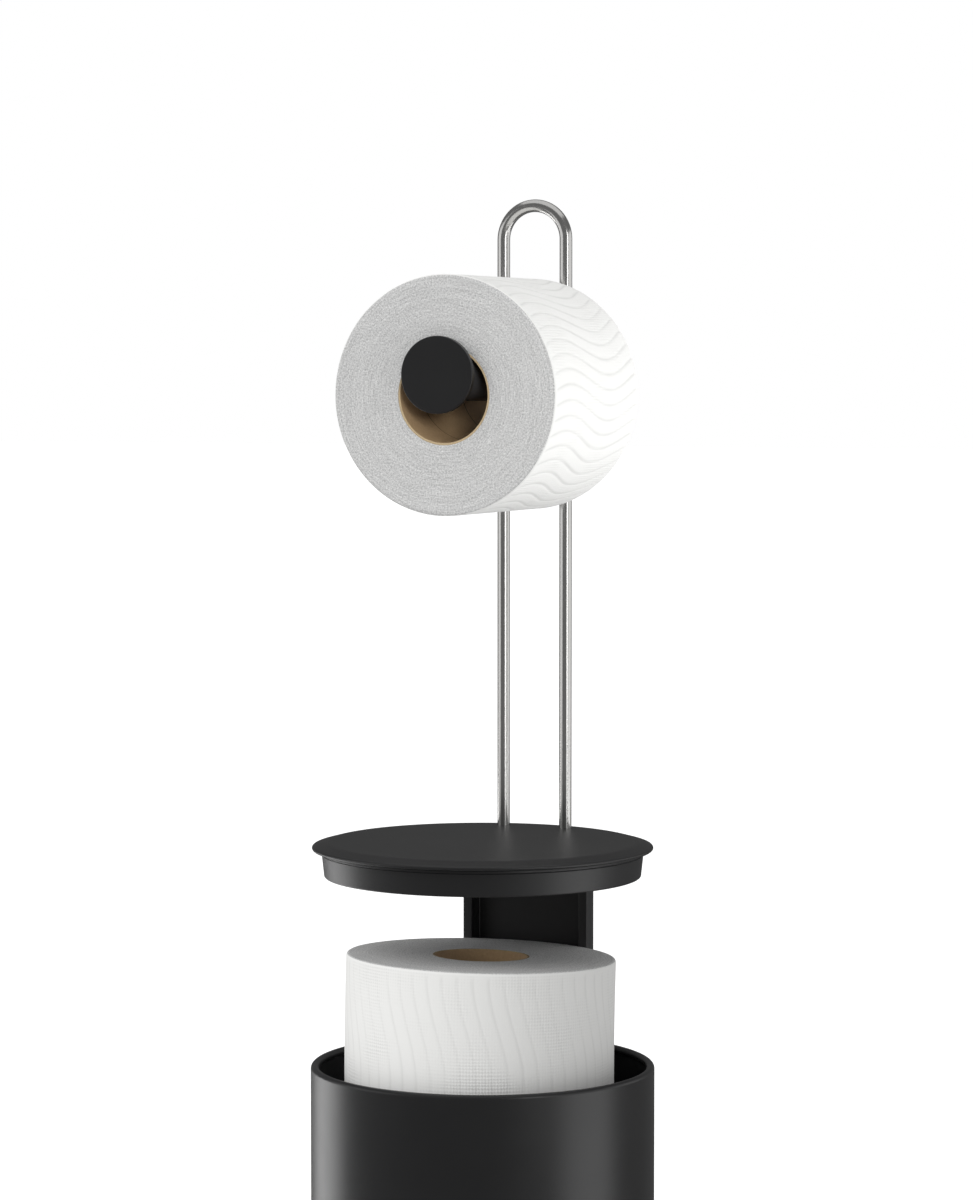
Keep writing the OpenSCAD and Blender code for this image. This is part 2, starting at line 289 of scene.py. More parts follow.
# %% Moulded ABS
def moulded_abs(name, shine):
    """Black ABS from a spark-eroded mould. Its grain is drawn at 0.45 mm so that it still shows."""
    finish, tree, shader = start_finish(name, IOR=1.53, Roughness=shine)
    place = add_node(tree, "ShaderNodeTexCoord").outputs["Object"]
    cloud = add_node(tree, "ShaderNodeTexNoise", {"Vector": place, "Scale": patches(30), "Detail": 2.0})
    tone = add_node(tree, "ShaderNodeMix", {0: cloud.outputs["Fac"], 6: linear("#1c1c1d"),
                                            7: linear("#212122")}, data_type="RGBA")
    grain = add_node(tree, "ShaderNodeTexNoise", {"Vector": place, "Scale": patches(0.45), "Detail": 2.0})
    blur = add_node(tree, "ShaderNodeMapRange", {"Value": grain.outputs["Fac"], "To Min": shine - 0.05,
                                                 "To Max": shine + 0.05})
    relief = add_node(tree, "ShaderNodeBump", {"Height": grain.outputs["Fac"], "Strength": 0.35,
                                               "Distance": 0.015 * MM})
    cover(shader, Base_Color=tone.outputs[2], Roughness=blur.outputs["Result"],
          Normal=relief.outputs["Normal"])
    return finish


black_abs = moulded_abs("black_moulded_abs", shine=0.42)

# %% [markdown]
# ## Drawn stainless wire and zinc plate
#
# Stainless wire is pulled through a die, which leaves very fine scratches along its length, and is
# then polished. Lengthwise scratches stretch a highlight across the wire and keep it sharp along
# it, so the noise below is 100 times longer than it is wide. The hidden plate, nuts and
# screws are zinc-plated: a cooler, duller metal with a cloudy crystal pattern.

# %% Metals
def metal(name, low, high, shine, stretch, grain_mm, groove_mm):
    """Bare metal. Its grain is stretch times longer along Z than it is wide."""
    finish, tree, shader = start_finish(name, Metallic=1.0, Roughness=shine)
    place = add_node(tree, "ShaderNodeTexCoord").outputs["Object"]
    drawn = add_node(tree, "ShaderNodeMapping", {"Vector": place, "Scale": (1, 1, 1 / stretch)})
    grain = add_node(tree, "ShaderNodeTexNoise", {"Vector": drawn.outputs["Vector"],
                                                  "Scale": patches(grain_mm), "Detail": 0.0})
    tone = add_node(tree, "ShaderNodeMix", {0: grain.outputs["Fac"], 6: linear(low), 7: linear(high)},
                    data_type="RGBA")
    blur = add_node(tree, "ShaderNodeMapRange", {"Value": grain.outputs["Fac"], "To Min": shine * 0.9,
                                                 "To Max": shine * 1.1})
    relief = add_node(tree, "ShaderNodeBump", {"Height": grain.outputs["Fac"], "Strength": 0.4,
                                               "Distance": groove_mm * MM})
    cover(shader, Base_Color=tone.outputs[2], Roughness=blur.outputs["Result"],
          Normal=relief.outputs["Normal"])
    return finish


drawn_stainless = metal("drawn_stainless_wire", "#cfcecc", "#dcdbd9", shine=0.2, stretch=100,
                        grain_mm=0.5, groove_mm=0.0001)
zinc_plate = metal("zinc_plated_steel", "#8f9295", "#b9bcc0", shine=0.34, stretch=1,
                   grain_mm=2.5, groove_mm=0.01)

# %% [markdown]
# ## Rubber
#
# The foot ring is soft moulded rubber. It reflects almost nothing, and dust and talc leave it a
# slightly uneven charcoal rather than a clean black.

# %% Rubber
black_rubber, tree, shader = start_finish("moulded_black_rubber", IOR=1.52, Roughness=0.8)
place = add_node(tree, "ShaderNodeTexCoord").outputs["Object"]
dust = add_node(tree, "ShaderNodeTexNoise", {"Vector": place, "Scale": patches(3), "Detail": 5.0})
tone = add_node(tree, "ShaderNodeMix", {0: dust.outputs["Fac"], 6: linear("#141414"),
                                        7: linear("#242423")}, data_type="RGBA")
relief = add_node(tree, "ShaderNodeBump", {"Height": dust.outputs["Fac"], "Strength": 0.4,
                                           "Distance": 0.05 * MM})
cover(shader, Base_Color=tone.outputs[2], Normal=relief.outputs["Normal"])

# %% [markdown]
# ## Tissue
#
# A roll shows tissue in two ways. Round its side lies one flat sheet, bright white, pressed with
# long wavy lines and a fine diagonal pattern of dots. At its ends are the cut edges of hundreds
# of layers, a greyer and more speckled surface with faint rings. The wavy lines are modelled in
# the mesh, with an attribute that says how deep each point is pressed. The dots follow the sheet,
# so they read a UV map that is measured in metres along the sheet and across it. A handled roll
# keeps neither everywhere: one noise decides where the dots stand out and where the lines do.
# The pressed lines and the dots are also painted a darker grey, which is painted shade in their
# hollows.

# %% Tissue on the side of a roll
DOT_PITCH = 2 * MM
WORN_PATCH = 30
tissue_side, tree, shader = start_finish("embossed_tissue", IOR=1.4, Roughness=0.95)
winding = add_node(tree, "ShaderNodeUVMap", uv_map="winding").outputs["UV"]
diagonal = add_node(tree, "ShaderNodeMapping", {"Vector": winding, "Rotation": (0, 0, math.radians(45)),
                                                "Scale": (math.tau / DOT_PITCH,) * 3})
along = add_node(tree, "ShaderNodeSeparateXYZ", {"Vector": diagonal.outputs["Vector"]})
rows = add_node(tree, "ShaderNodeMath", {0: along.outputs["X"]}, operation="SINE")
columns = add_node(tree, "ShaderNodeMath", {0: along.outputs["Y"]}, operation="SINE")
dots = add_node(tree, "ShaderNodeMath", {0: rows.outputs[0], 1: columns.outputs[0]}, operation="MULTIPLY")
fibres = add_node(tree, "ShaderNodeTexNoise", {"Vector": winding, "Scale": patches(0.9), "Detail": 4.0,
                                               "Roughness": 0.7})
worn = add_node(tree, "ShaderNodeTexNoise", {"Vector": winding, "Scale": patches(WORN_PATCH),
                                             "Detail": 2.0})
depth = add_node(tree, "ShaderNodeMapRange", {"Value": worn.outputs["Fac"], "From Min": 0.45,
                                              "From Max": 0.65, "To Min": 0.02, "To Max": 0.5})
pattern = add_node(tree, "ShaderNodeMath", {0: dots.outputs[0], 1: depth.outputs["Result"]},
                   operation="MULTIPLY")
height = add_node(tree, "ShaderNodeMath", {0: fibres.outputs["Fac"], 1: 0.5, 2: pattern.outputs[0]},
                  operation="MULTIPLY_ADD")
relief = add_node(tree, "ShaderNodeBump", {"Height": height.outputs[0], "Strength": 0.6,
                                           "Distance": 0.25 * MM})
# Painted shade: the pressed attribute and the dot pattern darken the colour in the lines and dots, where
# the hollows would be in shade, and the wear noise fades it.
pressed = add_node(tree, "ShaderNodeAttribute", attribute_name="pressed")
kept = add_node(tree, "ShaderNodeMapRange", {"Value": worn.outputs["Fac"], "From Min": 0.35,
                                             "From Max": 0.65, "To Min": 1.0, "To Max": 0.3})
painted_emboss_shade = add_node(tree, "ShaderNodeMath", {0: pressed.outputs["Fac"], 1: kept.outputs["Result"],
                                            2: pattern.outputs[0]}, operation="MULTIPLY_ADD")
shade = add_node(tree, "ShaderNodeMix", {0: painted_emboss_shade.outputs[0], 6: linear("#f3f3f1"),
                                         7: linear("#dededc")}, data_type="RGBA")
cover(shader, Base_Color=shade.outputs[2], Normal=relief.outputs["Normal"])

# %% Tissue at the ends of a roll
# A ring stands for two layers, in mm, because single ones would be too fine to show. The noise is
# scaled up to vary round the rings too, so their distance is divided by the same number.
TWO_LAYERS = 0.2
ROUND_NOISE = 3.5
SPECK = 0.8
tissue_end, tree, shader = start_finish("cut_tissue_layers", IOR=1.4, Roughness=1.0)
flat = add_node(tree, "ShaderNodeUVMap", uv_map="winding").outputs["UV"]
radius = add_node(tree, "ShaderNodeVectorMath", {0: flat}, operation="LENGTH")
outwards = add_node(tree, "ShaderNodeVectorMath", {0: flat}, operation="NORMALIZE")
around = add_node(tree, "ShaderNodeSeparateXYZ", {"Vector": outwards.outputs["Vector"]})
rings_at = add_node(tree, "ShaderNodeMath", {0: radius.outputs["Value"],
                                             1: patches(TWO_LAYERS) / ROUND_NOISE}, operation="MULTIPLY")
ring_place = add_node(tree, "ShaderNodeCombineXYZ", {"X": around.outputs["X"], "Y": around.outputs["Y"],
                                                     "Z": rings_at.outputs[0]})
layers = add_node(tree, "ShaderNodeTexNoise", {"Vector": ring_place.outputs[0], "Scale": ROUND_NOISE,
                                               "Detail": 3.0, "Roughness": 0.7})
specks = add_node(tree, "ShaderNodeTexNoise", {"Vector": flat, "Scale": patches(SPECK), "Detail": 3.0,
                                               "Roughness": 0.8})
both = add_node(tree, "ShaderNodeMath", {0: layers.outputs["Fac"], 1: 0.6, 2: specks.outputs["Fac"]},
                operation="MULTIPLY_ADD")
spread = add_node(tree, "ShaderNodeMapRange", {"Value": both.outputs[0], "From Min": 0.58,
                                               "From Max": 1.0})
shade = add_node(tree, "ShaderNodeMix", {0: spread.outputs["Result"], 6: linear("#a2a2a2"),
                                         7: linear("#f2f2f1")}, data_type="RGBA")
relief = add_node(tree, "ShaderNodeBump", {"Height": both.outputs[0], "Strength": 0.8,
                                           "Distance": 0.3 * MM})
cover(shader, Base_Color=shade.outputs[2], Normal=relief.outputs["Normal"])

# %% [markdown]
# ## Core board
#
# The cores are grey-brown board, wound from a strip along a screw line and glued. A thin
# dark seam runs round the tube where one turn of the strip meets the next. The seam is worked out
# from the tube's own UV map: the distance round the tube, sheared by the rise of the strip.

# %% Core board
STRIP_RISE = 46 * MM
CORE_ROUND = math.tau * 22 * MM
SEAM = 0.9 * MM
core_board, tree, shader = start_finish("spiral_wound_core_board", IOR=1.45, Roughness=0.85)
winding = add_node(tree, "ShaderNodeUVMap", uv_map="winding").outputs["UV"]
apart = add_node(tree, "ShaderNodeSeparateXYZ", {"Vector": winding})
risen = add_node(tree, "ShaderNodeMath", {0: apart.outputs["X"], 1: STRIP_RISE / CORE_ROUND,
                                          2: apart.outputs["Y"]}, operation="MULTIPLY_ADD")
turns_up = add_node(tree, "ShaderNodeMath", {0: risen.outputs[0], 1: STRIP_RISE}, operation="DIVIDE")
share = add_node(tree, "ShaderNodeMath", {0: turns_up.outputs[0]}, operation="FRACT")
seam = add_node(tree, "ShaderNodeMath", {0: share.outputs[0], 1: SEAM / STRIP_RISE},
                operation="LESS_THAN")
fibres = add_node(tree, "ShaderNodeTexNoise", {"Vector": winding, "Scale": patches(1.4), "Detail": 5.0,
                                               "Roughness": 0.7})
board = add_node(tree, "ShaderNodeMix", {0: fibres.outputs["Fac"], 6: linear("#94795a"),
                                         7: linear("#c4a781")}, data_type="RGBA")
seamed = add_node(tree, "ShaderNodeMix", {0: seam.outputs[0], 6: board.outputs[2], 7: linear("#7c674b")},
                  data_type="RGBA")
level = add_node(tree, "ShaderNodeMath", {0: fibres.outputs["Fac"], 1: share.outputs[0]}, operation="ADD")
relief = add_node(tree, "ShaderNodeBump", {"Height": level.outputs[0], "Strength": 0.5,
                                           "Distance": 0.15 * MM})
cover(shader, Base_Color=seamed.outputs[2], Normal=relief.outputs["Normal"])

core_edge, tree, shader = start_finish("cut_core_edge", IOR=1.45, Roughness=0.9)
place = add_node(tree, "ShaderNodeTexCoord").outputs["Object"]
fuzz = add_node(tree, "ShaderNodeTexNoise", {"Vector": place, "Scale": patches(0.6), "Detail": 3.0})
tone = add_node(tree, "ShaderNodeMix", {0: fuzz.outputs["Fac"], 6: linear("#8f7c5f"),
                                        7: linear("#b7a586")}, data_type="RGBA")
cover(shader, Base_Color=tone.outputs[2])
print("finishes:", len(bpy.data.materials))

# %% [markdown]
# ## Working on a mesh
#
# Most pieces here are turned shapes, so one helper does what a lathe does: it starts with a circle
# and extrudes it into one ring after another along an outline. Spinning a drawn outline would do
# as well, but the rings stay easy to pick later for grooves and seams. Picking is done by place or
# by the way a face points, because a script has no mouse to click with.

# %% Helpers for editing
def clear_selection():
    """Leaves nothing selected, so that the next operator acts on the new piece alone."""
    bpy.ops.object.select_all(action="DESELECT")


def take(piece):
    """Makes one piece the only one selected, and the active one."""
    clear_selection()
    piece.select_set(True)
    bpy.context.view_layer.objects.active = piece


def start_piece(name):
    """Names the primitive that was just added, fixes its place in its mesh and opens it."""
    piece = bpy.context.object
    piece.name = piece.data.name = name
    bpy.ops.object.transform_apply(location=True, rotation=True, scale=True)
    bpy.ops.object.mode_set(mode="EDIT")
    return piece


def pick(piece, kind, rule):
    """Selects the verts, edges or faces whose middle and direction pass the rule."""
    bpy.ops.mesh.select_mode(type={"verts": "VERT", "edges": "EDGE", "faces": "FACE"}[kind])
    bpy.ops.mesh.select_all(action="DESELECT")
    mesh = bmesh.from_edit_mesh(piece.data)
    for part in getattr(mesh, kind):
        if kind == "verts":
            chosen = rule(part.co, part.normal)
        elif kind == "edges":
            start, end = (corner.co for corner in part.verts)
            chosen = rule((start + end) / 2, (end - start).normalized())
        else:
            chosen = rule(part.calc_center_median(), part.normal)
        part.select_set(bool(chosen))
    mesh.select_flush_mode()
    bmesh.update_edit_mesh(piece.data)


def extrude_rings(points, centre=(0, 0)):
    """Extrudes the selected ring through (radius, height, turn) points round an upright axis.

    Without a window transform.rotate turns the other way, so it is given the turn backwards.
    """
    radius, height, turn = points[0]
    for next_radius, next_height, next_turn in points[1:]:
        middle = (*centre, next_height)
        rise = (0, 0, next_height - height)
        bpy.ops.mesh.extrude_edges_move(TRANSFORM_OT_translate={"value": rise})
        size = next_radius / radius
        bpy.ops.transform.resize(value=(size, size, 1), center_override=middle)
        if next_turn != turn:
            bpy.ops.transform.rotate(value=turn - next_turn, orient_axis="Z", center_override=middle)
        radius, height, turn = next_radius, next_height, next_turn


def close_piece(piece):
    """Merges the points that meet, points every face outwards and leaves edit mode."""
    bpy.ops.mesh.select_all(action="SELECT")
    bpy.ops.mesh.remove_doubles(threshold=0.01 * MM)
    bpy.ops.mesh.normals_make_consistent(inside=False)
    bpy.ops.object.mode_set(mode="OBJECT")


def turned(name, outline, sides=160, turns=None):
    """Turns an outline of (radius, height) points round Z. An end at radius 0 closes there."""
    tip = 0.05 * MM
    turns = turns or [0] * len(outline)
    points = [(max(radius, tip), height, turn) for (radius, height), turn in zip(outline, turns)]
    clear_selection()
    bpy.ops.mesh.primitive_circle_add(vertices=sides, radius=points[0][0], calc_uvs=False,
                                      location=(0, 0, points[0][1]))
    piece = start_piece(name)
    extrude_rings(points)
    for end_radius, end_height in (outline[0], outline[-1]):
        if end_radius == 0:
            pick(piece, "verts", lambda at, way: at.xy.length < 2 * tip and abs(at.z - end_height) < tip)
            bpy.ops.mesh.merge(type="CENTER")
    close_piece(piece)
    return piece


def bend(radius, height, size, start, stop, steps=8):
    """(radius, height) points along an arc round a centre, between two angles in degrees."""
    angles = [math.radians(start + (stop - start) * step / steps) for step in range(steps + 1)]
    return [(radius + size * math.cos(angle), height + size * math.sin(angle)) for angle in angles]


# %% Helpers for joining, cutting and finishing
def block(low, high):
    """A box between two corners, as a start for a flat-sided piece or as a cutting tool."""
    clear_selection()
    middle, size = (Vector(low) + Vector(high)) / 2, Vector(high) - Vector(low)
    bpy.ops.mesh.primitive_cube_add(size=1, location=middle, scale=size, calc_uvs=False)
    bpy.ops.object.transform_apply(location=True, rotation=True, scale=True)
    return bpy.context.object


def round_corners(piece, rule, radius, segments=6):
    """Rounds the edges of a block that pass the rule."""
    bpy.ops.object.mode_set(mode="EDIT")
    pick(piece, "edges", rule)
    bpy.ops.mesh.bevel(offset=radius, segments=segments, affect="EDGES")
    close_piece(piece)


def round_bar(start, end, radius, sides=48):
    """A round bar between two points, as a drill or as a boss to add."""
    clear_selection()
    start, end = Vector(start), Vector(end)
    turn = (end - start).to_track_quat("Z", "Y").to_euler()
    bpy.ops.mesh.primitive_cylinder_add(vertices=sides, radius=radius, depth=(end - start).length,
                                        location=(start + end) / 2, rotation=turn, calc_uvs=False)
    bpy.ops.object.transform_apply(location=True, rotation=True, scale=True)
    return bpy.context.object


def apply_modifier(piece, kind, **settings):
    """Adds a modifier with its settings and applies it at once."""
    take(piece)
    change = piece.modifiers.new(kind.lower(), kind)
    for name, value in settings.items():
        setattr(change, name, value)
    bpy.ops.object.modifier_apply(modifier=change.name)


def combine(piece, tools, operation):
    """Cuts the tools out of a piece (DIFFERENCE) or adds them to it (UNION)."""
    for tool in tools:
        apply_modifier(piece, "BOOLEAN", operation=operation, object=tool, solver="EXACT")
        bpy.data.objects.remove(tool)


def soften(piece, width, segments=3, angle=40):
    """Rounds every edge that is sharper than the angle."""
    apply_modifier(piece, "BEVEL", width=width, segments=segments, limit_method="ANGLE",
                   angle_limit=math.radians(angle), miter_outer="MITER_ARC", use_clamp_overlap=True)


def lay_along_y(piece, place):
    """Lays an upright turned piece down, so that its Z runs along +Y from a place."""
    take(piece)
    piece.rotation_euler = (-math.pi / 2, 0, 0)
    piece.location = place
    bpy.ops.object.transform_apply(location=True, rotation=True, scale=True)


def finish_piece(piece, body, nodes, finishes, smooth=35):
    """Shades a piece smoothly, gives it its finish and hangs it on the body that carries it."""
    take(piece)
    bpy.ops.object.shade_smooth_by_angle(angle=math.radians(smooth))
    apply_modifier(piece, "WEIGHTED_NORMAL", keep_sharp=True)
    for finish in finishes:
        piece.data.materials.append(finish)
    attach(piece, body)
    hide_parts(*nodes)
    size = [round(value / MM, 1) for value in piece.dimensions]
    print(f"{piece.name}: {len(piece.data.polygons)} faces, {size} mm")


# %% [markdown]
# ## The canister
#
# The canister is one sheet of steel, rolled into a tube and welded down the back. Its top edge is
# curled inwards over a wire's width, which stiffens the rim and hides the cut edge. The curl
# is what catches the light as a thin bright line, so the outline follows it all the way round to
# where it meets the wall again. The weld is ground flat before painting and stays as a faint line.

# %% Canister shell
low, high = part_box("canister_shell")
canister_radius, shell_foot = high.x, low.z
SHEET = 1.2 * MM
CURL = 1.9 * MM
BREAK = 0.3 * MM
outline = [(canister_radius - SHEET, shell_foot), (canister_radius - BREAK, shell_foot),
           (canister_radius, shell_foot + BREAK)]
outline += bend(canister_radius - CURL, rim_height - CURL, CURL, 0, 290, steps=24)
outline += [(canister_radius - SHEET, shell_foot)]
canister = turned("canister_shell_rolled", outline, sides=192)

WELD_HALF = 0.6 * MM
WELD_DEPTH = 0.15 * MM
near = 0.1 * MM
bpy.ops.object.mode_set(mode="EDIT")
pick(canister, "edges", lambda at, way: abs(way.z) > 0.99 and abs(at.x) < near
     and at.y > canister_radius - 2 * near and at.z < rim_height - 2 * CURL)
bpy.ops.mesh.bevel(offset=WELD_HALF, segments=2, affect="EDGES")
pick(canister, "verts", lambda at, way: abs(at.x) < near and at.y > canister_radius - 2 * near
     and at.z < rim_height - CURL + near)
shrink = (canister_radius - WELD_DEPTH) / canister_radius
bpy.ops.transform.resize(value=(shrink, shrink, 1), center_override=(0, 0, 0))
bpy.ops.object.mode_set(mode="OBJECT")
finish_piece(canister, "canister", ["canister_shell"], [black_powder_coat])

# %% [markdown]
# ## Base cap and foot ring
#
# A moulded cap closes the tube's foot. It has a rounded outer edge, a wall that plugs into the
# tube and a groove for the rubber ring that the holder stands on. Three screws come up through it,
# and their heads sink into round recesses, which are cut with plain bars as a drill would. Each
# cutting tool here and below runs past the face it cuts by SPARE, which keeps the cut clean.

# %% Base cap
low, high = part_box("base_cap")
cap_foot, cap_top = low.z, high.z
foot_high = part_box("foot_ring")[1]
ring_out, ring_top = foot_high.x, foot_high.z
RING_WIDTH = 10 * MM
ring_in = ring_out - RING_WIDTH
CAP_PLATE = 2.5 * MM
PLUG_WALL = 2.4 * MM
CAP_ROUND = 2.5 * MM
LEAD_IN = 0.5 * MM
FILLET = 1 * MM
plug_radius = canister_radius - SHEET
plug_in = plug_radius - PLUG_WALL
plate_top = cap_foot + CAP_PLATE
outline = [(0, cap_foot), (ring_in, cap_foot), (ring_in, ring_top), (ring_out, ring_top),
           (ring_out, cap_foot)]
outline += bend(canister_radius - CAP_ROUND, cap_foot + CAP_ROUND, CAP_ROUND, -90, 0)
outline += [(canister_radius, shell_foot - 0.4 * MM), (canister_radius - BREAK, shell_foot),
            (plug_radius, shell_foot), (plug_radius, cap_top - LEAD_IN), (plug_radius - LEAD_IN, cap_top),
            (plug_in, cap_top), (plug_in, plate_top + FILLET), (plug_in - FILLET, plate_top),
            (0, plate_top)]
base_cap = turned("base_cap_moulded", outline)
SCREW_CIRCLE = 46 * MM
HEAD_RECESS, RECESS_DEPTH = 4.45 * MM, 1.6 * MM
SCREW_HOLE = 2.2 * MM
SPARE = 1 * MM
drills = []
for number in range(3):
    angle = math.radians(90 + number * 120)
    x, y = SCREW_CIRCLE * math.cos(angle), SCREW_CIRCLE * math.sin(angle)
    below = (x, y, cap_foot - SPARE)
    drills.append(round_bar(below, (x, y, cap_foot + RECESS_DEPTH), HEAD_RECESS))
    drills.append(round_bar(below, (x, y, plate_top + SPARE), SCREW_HOLE, sides=32))
combine(base_cap, drills, "DIFFERENCE")
finish_piece(base_cap, "canister", ["base_cap"], [black_abs])

# %% Foot ring
RIBS = 3
MARGIN = 1 * MM
RIB_GROOVE = 0.5 * MM
RING_ROUND = 0.6 * MM
rib_step = (RING_WIDTH - 2 * MARGIN) / RIBS
outline = [(ring_in, ring_top), (ring_in, RING_ROUND), (ring_in + 0.3 * MM, 0.1 * MM)]
for rib in range(RIBS):
    start = ring_in + MARGIN + rib * rib_step
    end = start + rib_step
    outline += [(start + 0.2 * MM, 0), (end - 0.9 * MM, 0), (end - 0.6 * MM, RIB_GROOVE),
                (end - 0.1 * MM, RIB_GROOVE)]
outline += [(ring_out - RING_ROUND, 0), (ring_out, RING_ROUND), (ring_out, ring_top), (ring_in, ring_top)]
foot_ring = turned("foot_ring_ribbed", outline, sides=128)
finish_piece(foot_ring, "canister", ["foot_ring"], [black_rubber])

# %% [markdown]
# ## The lid
#
# The lid's flat top bends down into a sloping edge that ends in a thin lip over the canister's rim.
# Two arcs with the slope between them make that edge: a larger one for the bend and a small one
# for the lip. The bend's middle is worked out so that the slope touches both arcs, and the light
# runs over them with no kink. Underneath, the lid is hollow, with bosses for its screws and for
# the wire, and ribs to keep the thin top flat.

# %% Lid
low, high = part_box("lid_top")
lid_radius, lid_under, lid_face = high.x, low.z, high.z
collar_low, collar_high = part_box("lid_collar")
collar_radius, collar_foot, lid_edge = collar_high.x, collar_low.z, collar_high.z
DRAFT = 1.2 * MM
COLLAR_WALL = 2.4 * MM
collar_in = collar_radius - DRAFT - COLLAR_WALL
LIP = 0.9 * MM
SHOULDER = 12 * MM
SLOPE = math.radians(15)
LID_WALL = 3.2 * MM
hollow_radius = 66 * MM
hollow_top = lid_face - LID_WALL
lip_at = lid_radius - LIP
fall = (lid_face - lid_edge - LIP - SHOULDER) * math.cos(SLOPE) + SHOULDER - LIP
shoulder_at = lip_at - fall / math.sin(SLOPE)
HOLLOW_ROUND = 0.8 * MM
outline = [(0, hollow_top), (hollow_radius - HOLLOW_ROUND, hollow_top),
           (hollow_radius, hollow_top - HOLLOW_ROUND), (hollow_radius, lid_under),
           (collar_in, lid_under), (collar_in, lid_edge)]
slope_faces = 90 - math.degrees(SLOPE)
outline += bend(lip_at, lid_edge + LIP, LIP, -90, slope_faces, steps=12)
outline += bend(shoulder_at, lid_face - SHOULDER, SHOULDER, slope_faces, 90, steps=8)
outline += [(0, lid_face)]
lid = turned("lid_top_moulded", outline, sides=192)

wire_low, wire_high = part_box("wire_loop")
WIRE = 3 * MM
leg_x = wire_high.x - WIRE
leg_y = (wire_low.y + wire_high.y) / 2
BOSS = 5 * MM
RIB_HALF = 0.8 * MM
LID_SCREW, LID_SCREW_DEPTH = 2 * MM, 5 * MM
WIRE_GAP = 0.12 * MM
lid_screws_at = [(x * MM, y * MM) for x, y in ((-40, 42), (-14, 38), (14, 38), (40, 42))]
bosses = lid_screws_at + [(-leg_x, leg_y), (leg_x, leg_y)]
rib_foot, rib_top = hollow_top - 2.4 * MM, hollow_top + 0.5 * MM
ribs = [block((-hollow_radius + SPARE, y - RIB_HALF, rib_foot),
              (hollow_radius - SPARE, y + RIB_HALF, rib_top)) for y in (-12 * MM, 12 * MM)]
ribs += [block((x - RIB_HALF, -60 * MM, rib_foot), (x + RIB_HALF, 26 * MM, rib_top))
         for x in (-22 * MM, 22 * MM)]
pillars = [round_bar((x, y, lid_under), (x, y, hollow_top + SPARE), BOSS) for x, y in bosses]
combine(lid, ribs + pillars, "UNION")
drills = [round_bar((x, y, lid_under - SPARE), (x, y, lid_under + LID_SCREW_DEPTH), LID_SCREW, sides=32)
          for x, y in lid_screws_at]
drills += [round_bar((side * leg_x, leg_y, lid_under - SPARE), (side * leg_x, leg_y, lid_face + SPARE),
                     WIRE + WIRE_GAP) for side in (-1, 1)]
combine(lid, drills, "DIFFERENCE")
finish_piece(lid, "caddy", ["lid_top"], [black_abs])

# %% [markdown]
# ## The collar
#
# A drafted ring under the lid drops into the rim and centres the lid. Its outside narrows towards
# the foot, so that it finds its own way in, and its lower edge is rounded. A flat bead runs round
# its top between two fine grooves, which show as a dark line under the lid and a fainter one a
# millimetre lower. It is one closed outline, turned like the lid.

# %% Lid collar
FOOT_ROUND = 0.8 * MM
GROOVE = 0.35 * MM
BEAD = 1.3 * MM
bead_round = 0.3 * MM
bead_top = lid_edge - 1.3 * GROOVE
bead_foot = bead_top - BEAD
INNER_BREAK = 0.4 * MM
outline = [(collar_in, lid_edge), (collar_in, collar_foot + INNER_BREAK),
           (collar_in + INNER_BREAK, collar_foot)]
outline += bend(collar_radius - DRAFT - FOOT_ROUND, collar_foot + FOOT_ROUND, FOOT_ROUND, -90, 5, steps=6)
outline += [(collar_radius - 0.15 * MM, bead_foot - GROOVE),
            (collar_radius - GROOVE, bead_foot - GROOVE / 2)]
outline += bend(collar_radius - bead_round, bead_foot + bead_round, bead_round, -60, 0, steps=3)
outline += bend(collar_radius - bead_round, bead_top - bead_round, bead_round, 0, 90, steps=5)
neck = collar_radius - 2 * GROOVE
outline += [(neck, bead_top), (neck, lid_edge), (collar_in, lid_edge)]
collar = turned("lid_collar_moulded", outline, sides=192)
finish_piece(collar, "caddy", ["lid_collar"], [black_abs])

# %% [markdown]
# ## The spine
#
# The spine is a channel: a back panel with a thick flange down each side that points forward and
# keeps the rolls from swinging. A block is rounded at its two back corners and hollowed from the
# front, which is quicker than drawing the section and gives the same sharp inside corners. Two
# windows at its top leave room for the nuts of the wire loop. Every outside edge then gets a
# half-millimetre round, because those edges are all that shows of a black part in its own shade.

# %% Spine
low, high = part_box("spine")
FLANGE = 4.3 * MM
PANEL = 2.8 * MM
CORNER = 5 * MM
spine = block(low, high)
spine.name = spine.data.name = "spine_channel"
round_corners(spine, lambda at, way: abs(way.z) > 0.99 and at.y > high.y - SPARE, CORNER, segments=8)
inner = high.y - PANEL
channel = block((low.x + FLANGE, low.y - SPARE, low.z - SPARE), (high.x - FLANGE, inner, high.z + SPARE))
combine(spine, [channel], "DIFFERENCE")
NUT_WINDOW_HALF, NUT_WINDOW_TALL = 6.5 * MM, 9 * MM
windows = [block((side * leg_x - NUT_WINDOW_HALF, inner - SPARE, high.z - NUT_WINDOW_TALL),
                 (side * leg_x + NUT_WINDOW_HALF, high.y + SPARE, high.z + SPARE)) for side in (-1, 1)]
tray_screw_x, tray_screw_z = 12 * MM, low.z + 12 * MM


def tray_screw_drills(front, back, radius):
    """The two drills for the screws that hold the tray to the spine."""
    return [round_bar((x, front - SPARE, tray_screw_z), (x, back + SPARE, tray_screw_z), radius, sides=32)
            for x in (-tray_screw_x, tray_screw_x)]


combine(spine, windows + tray_screw_drills(inner, high.y, SCREW_HOLE), "DIFFERENCE")
soften(spine, 0.45 * MM)
finish_piece(spine, "caddy", ["spine"], [black_abs])

# %% [markdown]
# ## The tray
#
# The spare rolls stand on a round tray with a low lip. A tongue at its back stands up behind the
# spine and takes two screws. The dish is turned, the tongue is a block with rounded corners, and
# the two are joined into one moulding.

